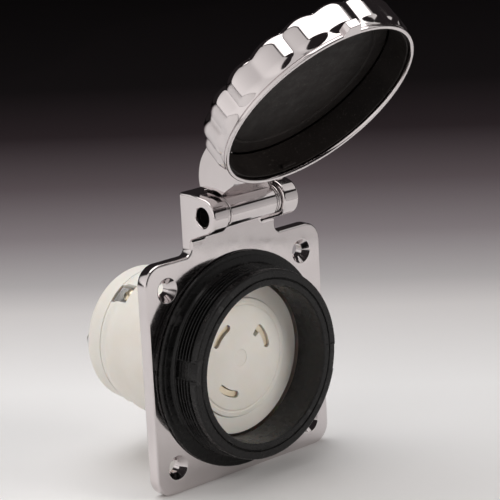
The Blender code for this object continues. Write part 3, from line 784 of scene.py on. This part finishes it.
def rear_housing():
    housing = lathe("rear_housing_moulded", housing_profile(), 180)
    outside, sill = 29.0, 32.0
    tools, bosses = [], []
    for angle in CONTACTS.values():
        window, recess = angle - CLAMP_LAG - 0.2, angle - TERMINAL_LAG
        tools.append(ring_sector("window", 21.8, outside, window, 17.4, sill, HOUSING_END + 1))
        tools.append(ring_sector("recess", 26.3, outside, recess, 39.0, sill, HOUSING_END + 1.5))
    for angle in COLLAR_SCREWS.values():
        tools.append(place(rod("hole", 1.6, 0, 8), SCREW_CIRCLE, angle))
    for angle in COVER_SCREWS.values():
        boss = rod("boss", 3.0, 28.4, HOUSING_END - 0.2, 40)
        bosses.append(place(boss, COVER_SCREW_CIRCLE + 0.7, angle))
        tools.append(place(rod("hole", 1.4, 32, 44, 24), COVER_SCREW_CIRCLE, angle))
    join(housing, *bosses)
    cut(housing, *tools)
    round_edges(housing, 0.25, 2, 50)
    show(housing, "white_nylon", "receptacle", "rear_housing")


def rear_cover():
    start = box_mm("rear_cover")[0].y
    spigot = 22.6
    corners = [(0, 48.0), (21.5, 48.0, 0.6), (spigot, 47.0), (spigot, start, 0.15),
               (COVER_RADIUS, start, 0.12), (COVER_RADIUS, COVER_END, 3.0),
               (17.8, COVER_END, 0.2), (17.6, COVER_END - 0.25, 0.2),
               (17.2, COVER_END - 0.25, 0.2), (17.0, COVER_END, 0.2), (0, COVER_END)]
    cover = lathe("rear_cover_moulded", fillet(corners, 5), 180)
    wire_circle, top = 12.5, COVER_END + 0.7
    rim = fillet([(0, 49), (5.9, 49), (5.9, top, 0.3), (0, top)], 4)
    bore = [(0, 45), (4.6, 45), (4.6, top - 0.5), (4.75, top - 0.15), (5.1, top), (5.1, top + 1),
            (0, top + 1)]
    rims, tools = [], []
    for angle in CONTACTS.values():
        rims.append(place(lathe("wire_rim", rim, 64), wire_circle, angle - TERMINAL_LAG))
        tools.append(place(lathe("wire_hole", bore, 64), wire_circle, angle - TERMINAL_LAG))
    for angle in COVER_SCREWS.values():
        tools.append(place(rod("hole", 1.5, 45, 53), COVER_SCREW_CIRCLE, angle))
    join(cover, *rims)
    cut(cover, *tools)
    show(cover, "white_nylon", "receptacle", "rear_cover")
    for i, angle in COVER_SCREWS.items():
        pan_screw(f"cover_screw_{i}", 1.1, 2.4, 1.6, COVER_SCREW_CIRCLE, angle)


# ---------------------------------------------------------------- lid, made shut

def arm_side():
    """The arm's side view in (y, z): over the hinge, round the cap and along to its centre."""
    reach = PIN.z + 8.0
    under = ARM_UNDERSIDE + 1.0 - PIN.y
    outer = flowing([(-4.2, 3.3), (-7.6, -0.4), (-10.6, -2.3), (-13.0, -4.5), (-14.9, -7.5),
                     (-16.1, -10.8), (-16.5, -14.5), (-16.4, -18.0), (-15.9, -30.0), (-15.4, -42.0),
                     (-15.2, -reach)], 5)
    inner = [(under, -reach), (under, -20.0), (0.1, -20.0)]
    inner += flowing([(0.3, -15.2), (-1.2, -10.0), (-1.6, -4.8), (0, 0)], 4)
    return [(PIN.y + y, PIN.z + z) for y, z in outer + inner]


def arm_plan():
    """The arm's front view in (x, z): a wide root that narrows to a round boss."""
    wide, boss = 14.0, 8.0
    corners = [(wide, PIN.z + 8), (-wide, PIN.z + 8), (-wide, 36.0, 8.0), (-wide + 1.5, 30.0, 8.0)]
    left = fillet(corners + [(-7.6, -2.6), (7.6, -2.6), (wide - 1.5, 30.0, 8.0), (wide, 36.0, 8.0)], 6)
    split = next(i for i, (x, z) in enumerate(left) if z < 0)
    return left[:split] + arc((0, 0), boss, -160, -20, 20) + left[split + 2:]


def swung(points, degrees):
    """Turn (y, z) offsets from the pin about it and make them absolute."""
    c, s = math.cos(math.radians(degrees)), math.sin(math.radians(degrees))
    return [(PIN.y + c * y - s * z, PIN.z + s * y + c * z) for y, z in points]


def pin_rod(name, radius, low, high, segments=96):
    return along_pin(rod(name, radius, low, high, segments))


def hinge_arm():
    arm = prism("hinge_arm_cast", arm_side(), "X", -20, 20)
    combine(arm, "INTERSECT", prism("plan", arm_plan(), "Y", -40, 10))
    above = TAB_TOP - PIN.z + 0.9
    over_tab = [(-1.5, above), (15.0, above), (15.0, 0.0), (0.5, 0.0)]
    tools = []
    for low, high in ((-21, BARREL_ENDS[0] + 0.3), (BARREL_ENDS[1] - 0.3, 21)):
        tools.append(pin_rod("nose_room", LUG_NOSE + 2.0, low, high))
        for i, degrees in enumerate((0.0, OVER_OPEN)):
            # each cutter is a hair wider than the last, so that no two share a face
            outline = swung(over_tab, math.degrees(OPEN) + degrees)
            tools.append(prism("tab_room", outline, "X", low - 0.01 * (i + 1), high + 0.01 * (i + 1)))
    front = -PLATE_THICK - PIN.y - 0.25
    heel = [(front, above - 0.7), (9.0, above - 0.7), (9.0, -2.0), (front, -2.0)]
    tools.append(prism("heel_room", swung(heel, math.degrees(OPEN) + OVER_OPEN), "X", -22, 22))
    clear = CAP_TROUGH + LOBE_HEIGHT + 0.5
    tools.append(rod("cap_room", clear, -4, ARM_UNDERSIDE, 180))
    cut(arm, *tools)
    merge_flat(arm, 0.02, 0.2)
    round_edges(arm, 0.8, 3, 40)
    low, high = BARREL_ENDS
    edge = 0.45
    profile = fillet([(0, low), (BARREL_RADIUS, low, edge), (BARREL_RADIUS, high, edge), (0, high)], 5)
    join(arm, along_pin(lathe("barrel", profile, 96)))
    cut(arm, pin_rod("bore", PIN_BORE, -20, 20), rod("rivet_bore", RIVET_BORE, -40, -10, 48))
    show(arm, "polished_steel", "lid_arm", "hinge_arm", lid=True)


def cap_rivet():
    low, high = -26.7, MOUTH_Y - CAP_FLOOR + 0.3
    shank, head = 2.5, 4.8
    profile = fillet([(0, low - 1.9), (2.2, low - 1.8, 1.5), (4.3, low - 1.1, 1.0), (head, low, 0.2),
                      (shank, low), (shank, high), (head, high, 0.1), (head, high + 0.5, 0.2),
                      (0, high + 0.5)], 4)
    show(lathe("cap_rivet_domed", profile, 64), "polished_steel", "lid_arm", "cap_rivet", lid=True)
    washer = ring("swivel_washer_turned", 3.1, 7.0, MOUTH_Y - 15.7, MOUTH_Y - 15.2, 0.15)
    show(washer, "polished_steel", "lid_arm", "swivel_washer", lid=True)


def lobe(angle, depth):
    """Height of a lobe's surface, 0 to 1: broad crowns, narrow rounded flutes, U-shaped front ends."""
    start, run = 1.5, 3.8
    phase = (math.degrees(angle) - INDEX_ANGLE) * LOBES / 360
    across = 2 * abs(phase - round(phase))
    along = max(0.0, start + run - depth) / run
    height = math.cos(math.pi / 2 * min(math.hypot(across, along), 1.0))
    soft = 0.10
    return (math.hypot(height, soft) - soft) / (math.hypot(1, soft) - soft)


def cap_skin():
    """The cap's fluted outside as (radius, depth, outward normal, share of the lobes' height)."""
    skin = []
    steps = 14
    for i in range(steps + 1):
        skin.append((CAP_TROUGH, 1.5 + 3.4 * i / steps, (1, 0), 1.0))
    skin += [(CAP_TROUGH, depth, (1, 0), 1.0) for depth in (6.5, 8.0, 9.5, 10.4)]
    bend, centre = 3.4, (CAP_TROUGH - 3.4, 10.7)
    for i in range(13):
        turn = math.radians(90 * i / 12)
        normal = (math.cos(turn), math.sin(turn))
        share = 1.0 - 0.4 * (i / 12) ** 2
        skin.append((centre[0] + bend * normal[0], centre[1] + bend * normal[1], normal, share))
    for i in range(1, 7):
        share = 0.6 * (1 - i / 6) ** 1.5
        skin.append((centre[0] - 0.75 * i, centre[1] + bend + 0.6 * (1 - (1 - i / 6) ** 2), (0, 1), share))
    return skin


def cap_shell():
    skin = cap_skin()
    lip = fillet([(CAP_RIM_BORE, 0.3), (CAP_RIM_BORE + 0.25, 0.0, 0.1), (CAP_LIP, 0.0, 0.35),
                  (CAP_LIP, 1.15, 0.25), (CAP_TROUGH - 0.35, 1.32, 0.12), (CAP_TROUGH - 0.3, 1.42)], 4)
    inside = fillet([(28.0, CAP_BACK - 0.05), (5.0, CAP_BACK), (RIVET_BORE, CAP_BACK),
                     (RIVET_BORE, CAP_FLOOR), (CAP_WALL_BORE, CAP_FLOOR, 1.2),
                     (CAP_WALL_BORE, 1.2, 0.2), (CAP_RIM_BORE, 0.9, 0.2)], 4)
    profile = lip + [(r, depth) for r, depth, _, _ in skin] + inside
    first = len(lip)

    def shape(index, radius, y, angle):
        if not first <= index < first + len(skin):
            return radius, y
        _, depth, normal, share = skin[index - first]
        raised = LOBE_HEIGHT * share * lobe(angle, depth)
        return radius + raised * normal[0], y - raised * normal[1]

    shell = lathe("cap_shell_cast", [(r, MOUTH_Y - d) for r, d in profile], 20 * LOBES, shape=shape)
    tip, root = 40.9, CAP_LIP - 0.8
    tab = prism("tab", fillet([(-3.7, -root), (-2.3, -tip, 0.6), (2.3, -tip, 0.6), (3.7, -root)], 4), "Y",
                MOUTH_Y - 3.0, MOUTH_Y)
    round_edges(tab, 0.25, 3)
    join(shell, turn_about_y(tab, INDEX_ANGLE - 270))
    show(shell, "polished_steel", "cap", "cap_shell", lid=True, sharp=50)


def cap_liner():
    """The sleeve inside the cap, with two lugs that stand in from its wall near the mouth."""
    inner, outer, tip = 35.3, 36.0, 34.4
    front, back = 2.2, 3.4
    end = PAD_FRONT - 0.3
    corners = [(inner, 1.5, 0.2), (outer, 1.5, 0.15), (outer, end, 0.15), (inner, end, 0.2)]
    liner = lathe("cap_liner_sleeve", [(r, MOUTH_Y - d) for r, d in fillet(corners, 3)], 200)
    lugs = []
    for side in (0, 1):
        lug = ring_sector("lug", tip, inner + 0.35, INDEX_ANGLE + 180 * side, 9.0, MOUTH_Y - back,
                          MOUTH_Y - front, 10)
        round_edges(lug, 0.2, 2)
        lugs.append(lug)
    join(liner, *lugs)
    show(liner, "black_rubber", "cap", "cap_liner", lid=True)


def cap_pad():
    front, back = PAD_FRONT, CAP_FLOOR - 0.3
    groove, edge, rivet_room = 29.3, 35.0, 5.6
    corners = [(0, front), (groove - 0.7, front, 0.15), (groove - 0.3, front + 0.5, 0.15),
               (groove + 0.3, front + 0.5, 0.15), (groove + 0.7, front, 0.15), (edge, front, 0.5),
               (edge, back, 0.2), (rivet_room, back), (rivet_room, back - 0.8), (0, back - 0.8)]
    pad = lathe("cap_pad_moulded", [(r, MOUTH_Y - d) for r, d in fillet(corners, 4)], 160)
    show(pad, "black_rubber", "cap", "cap_pad", lid=True)


# ---------------------------------------------------------------- studio

# painted light falloff: the floor's colour goes from pale near the object to near black far behind it,
# standing in for the light dying away
FLOOR_PAINTED_FALLOFF = (                  # distance behind the object, and the floor's colour there
    (90, (0.80, 0.78, 0.77)),
    (200, (0.60, 0.57, 0.56)),
    (245, (0.41, 0.385, 0.385)),
    (330, (0.225, 0.196, 0.204)),
    (435, (0.100, 0.079, 0.085)),
    (560, (0.022, 0.0155, 0.0175)),
    (700, (0.006, 0.0045, 0.005)),
)


def camera():
    """A long lens to the left of the front and a little above it, tilted a few degrees."""
    azimuth, elevation, roll = math.radians(-42.52), math.radians(14.82), math.radians(-3.12)
    target = Vector((11.66, 0.0, 35.77))
    distance = 897.23
    back = Vector((math.sin(azimuth) * math.cos(elevation), -math.cos(azimuth) * math.cos(elevation),
                   math.sin(elevation)))
    right = (-back).cross(Vector((0, 0, 1))).normalized()
    up = back.cross(right)
    x_axis = math.cos(roll) * right + math.sin(roll) * up
    y_axis = math.cos(roll) * up - math.sin(roll) * right
    data = bpy.data.cameras.new("camera")
    data.lens = 184.14
    data.clip_start = 0.01
    data.clip_end = 20
    rig = bpy.data.objects.new("camera", data)
    matrix = Matrix((x_axis, y_axis, back)).transposed().to_4x4()
    matrix.translation = (target + back * distance) * MM
    rig.matrix_world = matrix
    bpy.context.scene.collection.objects.link(rig)
    bpy.context.scene.camera = rig


def sheet(name, width, height, centre, facing, surface):
    """A rectangle in millimetres round a centre, its face turned to a direction."""
    w, h = width / 2, height / 2
    mesh = bpy.data.meshes.new(name)
    corners = [(-w * MM, -h * MM, 0), (w * MM, -h * MM, 0), (w * MM, h * MM, 0), (-w * MM, h * MM, 0)]
    mesh.from_pydata(corners, [], [(0, 1, 2, 3)])
    mesh.materials.append(surface)
    obj = bpy.data.objects.new(name, mesh)
    obj.location = Vector(centre) * MM
    obj.rotation_euler = Vector(facing).to_track_quat("Z", "Y").to_euler()
    bpy.context.scene.collection.objects.link(obj)
    return obj


def floor():
    """A pale floor whose colour is painted darker far behind the object: painted light falloff."""
    look = Finish("floor_paper", specular=0.1)
    along = look.node("ShaderNodeVectorMath", operation="DOT_PRODUCT")
    along.inputs[1].default_value = (0.749, 0.663, 0.0)
    look.link(look.node("ShaderNodeNewGeometry").outputs["Position"], along.inputs[0])
    ramp = look.node("ShaderNodeValToRGB")
    reach = 800.0
    look.link(look.spread(along.outputs["Value"], 0, 1, 0, reach * MM), ramp.inputs["Fac"])
    elements = ramp.color_ramp.elements
    while len(elements) < len(FLOOR_PAINTED_FALLOFF):
        elements.new(0.5)
    for element, (place, colour) in zip(elements, FLOOR_PAINTED_FALLOFF):
        element.position = place / reach
        element.color = (*colour, 1)
    look.colour(ramp.outputs["Color"])
    look.shader.inputs["Roughness"].default_value = 0.9
    look.bump(look.noise(1.5, detail=3), 0.02)
    sheet("floor", 6000, 6000, (0, 0, FLOOR_Z - 0.02), (0, 0, 1), look.material)


def glow(name, colour, low, high, edge):
    """An emission that goes from low to high up its sheet and fades out at the sheet's edges."""
    made = bpy.data.materials.new(name)
    made.use_nodes = True
    tree = made.node_tree
    tree.nodes.clear()

    def node(kind, **settings):
        added = tree.nodes.new(kind)
        for key, value in settings.items():
            setattr(added, key, value)
        return added

    def ramp(source, start, end, first, last):
        added = node("ShaderNodeMapRange", interpolation_type="SMOOTHSTEP")
        for key, value in (("From Min", start), ("From Max", end), ("To Min", first), ("To Max", last)):
            added.inputs[key].default_value = value
        tree.links.new(source, added.inputs["Value"])
        return added.outputs["Result"]

    def product(a, b):
        added = node("ShaderNodeMath", operation="MULTIPLY")
        tree.links.new(a, added.inputs[0])
        tree.links.new(b, added.inputs[1])
        return added.outputs["Value"]

    split = node("ShaderNodeSeparateXYZ")
    tree.links.new(node("ShaderNodeTexCoord").outputs["Generated"], split.inputs["Vector"])
    strength = ramp(split.outputs["Y"], 0, 1, low, high)
    for side in ("X", "Y"):
        strength = product(strength, ramp(split.outputs[side], 0, edge, 0, 1))
        strength = product(strength, ramp(split.outputs[side], 1 - edge, 1, 1, 0))
    light = node("ShaderNodeEmission")
    light.inputs["Color"].default_value = (*colour, 1)
    tree.links.new(strength, light.inputs["Strength"])
    tree.links.new(light.outputs["Emission"], node("ShaderNodeOutputMaterial").inputs["Surface"])
    return made


def card(name, width, height, centre, facing, low, high, edge=0.08, colour=(1.0, 0.97, 0.955)):
    """A glowing card that shows only in reflections."""
    made = sheet(name, width, height, centre, facing, glow(name, colour, low, high, edge))
    made.visible_camera = False
    made.visible_diffuse = False
    made.visible_shadow = False
    made.visible_transmission = False


def soft_light(name, width, height, centre, aim, watts, colour=(1.0, 0.98, 0.96)):
    """A large soft light that shows in no reflection."""
    data = bpy.data.lights.new(name, "AREA")
    data.shape = "RECTANGLE"
    data.size = width * MM
    data.size_y = height * MM
    data.energy = watts
    data.color = colour
    lamp = bpy.data.objects.new(name, data)
    lamp.location = Vector(centre) * MM
    lamp.rotation_euler = (Vector(centre) - Vector(aim)).to_track_quat("Z", "Y").to_euler()
    lamp.visible_camera = False
    lamp.visible_glossy = False
    bpy.context.scene.collection.objects.link(lamp)


def studio():
    world = bpy.data.worlds.new("studio")
    world.use_nodes = True
    backdrop = world.node_tree.nodes["Background"]
    backdrop.inputs["Color"].default_value = (0.020, 0.017, 0.018, 1)
    backdrop.inputs["Strength"].default_value = 1.0
    bpy.context.scene.world = world
    floor()
    soft_light("overhead_bank", 900, 700, (40, 250, 720), (0, 0, 0), 5.3, (0.97, 0.985, 1.0))
    soft_light("left_bank", 1000, 700, (-600, 40, 400), (0, 0, 50), 3.0)
    soft_light("front_fill", 500, 500, (420, -800, 360), (0, 0, 20), 5.0)
    card("overhead_card", 930, 900, (155, 90, 760), (0, 0, -1), 2.3, 2.0, 0.05)
    card("overhead_front_card", 620, 640, (790, -400, 760), (-0.4, 0.2, -1), 0.8, 0.6, 0.12)
    card("left_card", 1500, 1000, (-610, 60, 380), (0.85, 0, -0.45), 1.02, 0.67, 0.03)
    card("front_right_card", 700, 200, (215, -235, FLOOR_Z + 100), (-0.68, 0.73, 0), 0.60, 0.42, 0.01)
    bpy.context.scene.view_settings.view_transform = "Standard"


def build():
    flange_plate()
    hinge_pin()
    hinge_washers()
    threaded_collar()
    seals()
    collar_screws()
    insulator_face()
    contact_carrier()
    contacts()
    terminals()
    rear_housing()
    rear_cover()
    hinge_arm()
    cap_rivet()
    cap_shell()
    cap_liner()
    cap_pad()
    studio()
    camera()


build()
